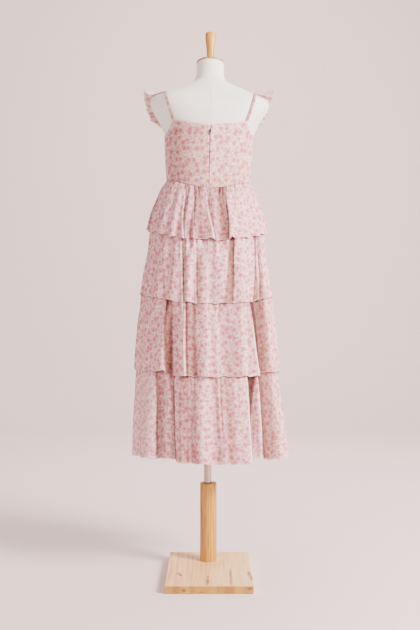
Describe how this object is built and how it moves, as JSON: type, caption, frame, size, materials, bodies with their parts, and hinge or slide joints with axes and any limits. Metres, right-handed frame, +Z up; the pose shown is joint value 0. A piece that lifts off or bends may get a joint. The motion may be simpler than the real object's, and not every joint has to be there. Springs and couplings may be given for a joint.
{
  "type": "tiered chiffon sundress on a dress form stand",
  "caption": "Rose floral chiffon sundress with a tiered skirt and ruffled straps, on a limbless linen dress form with a wooden stand",
  "frame": {"origin": "on the floor, at the middle of the base's seat for the round column", "axes": "+Z up; the back of the dress faces -Y and its front +Y; the wearer's left is -X"},
  "size_m": [0.5004, 0.469, 1.7165],
  "materials": {
    "stand_wood": "pale pine and beech, satin",
    "pole_steel": "satin steel tube",
    "form_linen": "off-white woven linen cover",
    "printed_chiffon": "sheer chiffon with a small rose floral print",
    "zip_tape": "closed zip in the shade of its seam",
    "zip_metal": "dark metal"
  },
  "bodies": {
    "dress_on_form": {"stand_base": "stand_wood", "stand_column": "stand_wood", "pole": "pole_steel", "form_torso": "form_linen", "neck_cap": "stand_wood", "neck_knob": "stand_wood", "bodice_back_left": "printed_chiffon", "bodice_back_right": "printed_chiffon", "bodice_front": "printed_chiffon", "underskirt": "printed_chiffon", "tier_1": "printed_chiffon", "tier_2": "printed_chiffon", "tier_3": "printed_chiffon", "tier_4": "printed_chiffon", "strap_left": "printed_chiffon", "strap_right": "printed_chiffon", "ruffle_left": "printed_chiffon", "ruffle_right": "printed_chiffon", "zip_teeth": "zip_tape", "zip_slider": "zip_metal"},
    "zip_pull": {"zip_pull": "zip_metal"}
  },
  "joints": [
    {"name": "zip_pull_swing", "type": "hinge", "parent": "dress_on_form", "child": "zip_pull", "pos_m": [0.00597, -0.11178, 1.378], "axis": [-0.9994, -0.0349, 0], "range_deg": [0, 150]}
  ]
}
